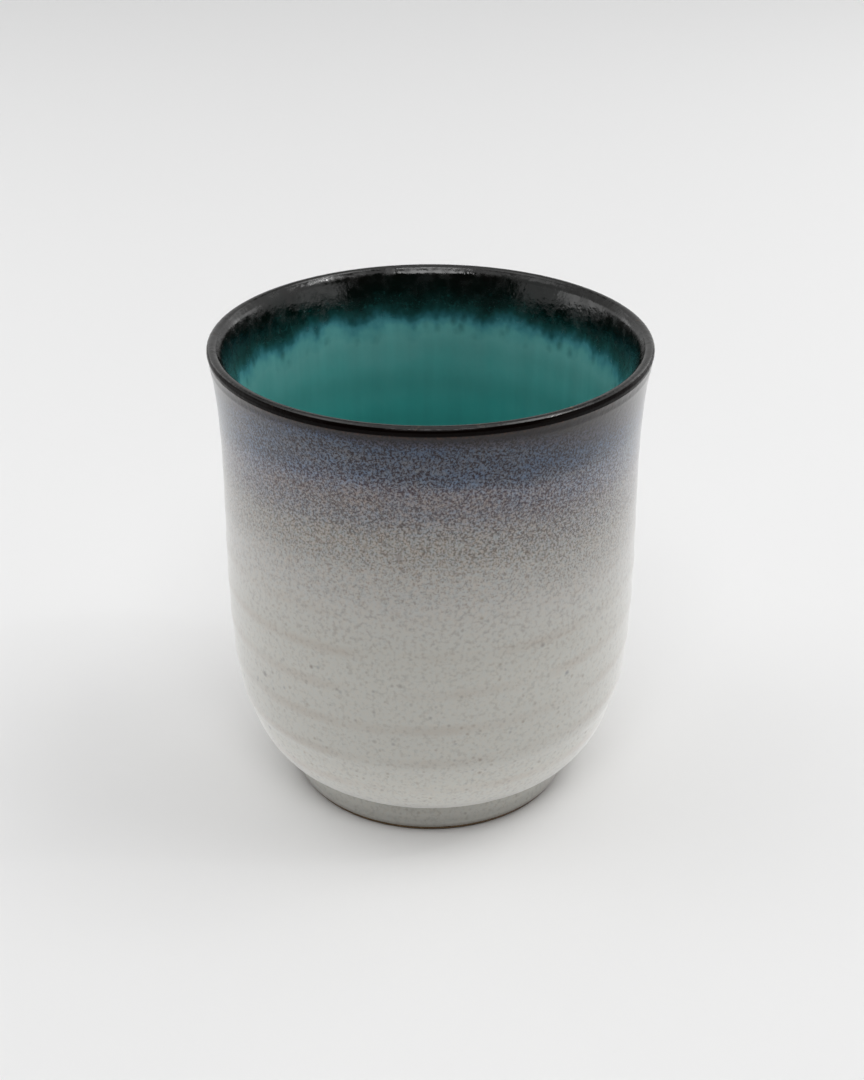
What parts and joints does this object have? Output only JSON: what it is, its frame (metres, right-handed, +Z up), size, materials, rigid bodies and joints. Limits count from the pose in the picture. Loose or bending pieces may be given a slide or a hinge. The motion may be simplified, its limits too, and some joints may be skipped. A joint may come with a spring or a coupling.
{
  "type": "yunomi tea cup",
  "caption": "Handleless tea cup: straight thrown wall, flared round lip and a foot ring; pale speckled glaze outside, blue-violet at the shoulder, iron lip and turquoise inside.",
  "frame": {"origin": "middle of the foot ring's resting face, on the table", "axes": "+Z up along the cup's axis, from the foot to the mouth; the cup is the same all round, so +X and +Y are free"},
  "size_m": [0.08, 0.08, 0.0897],
  "materials": {
    "stoneware": "bare fired stoneware, brown, fine-grained and matt",
    "pale_glaze": "pale grey-white satin glaze with dark iron specks",
    "blue_violet_glaze": "mottled blue-violet over purple brown, fading out downwards",
    "iron_glaze": "glossy black-brown iron glaze that breaks to tan on the edge",
    "turquoise_glaze": "glossy turquoise glaze that runs down from the iron band"
  },
  "bodies": {
    "root": {"clay_body": "stoneware", "foot_ring": "stoneware", "outside_glaze": "pale_glaze", "shoulder_glaze": "blue_violet_glaze", "lip_glaze": "iron_glaze", "inside_glaze": "turquoise_glaze", "foot_well_glaze": "pale_glaze"}
  },
  "joints": []
}
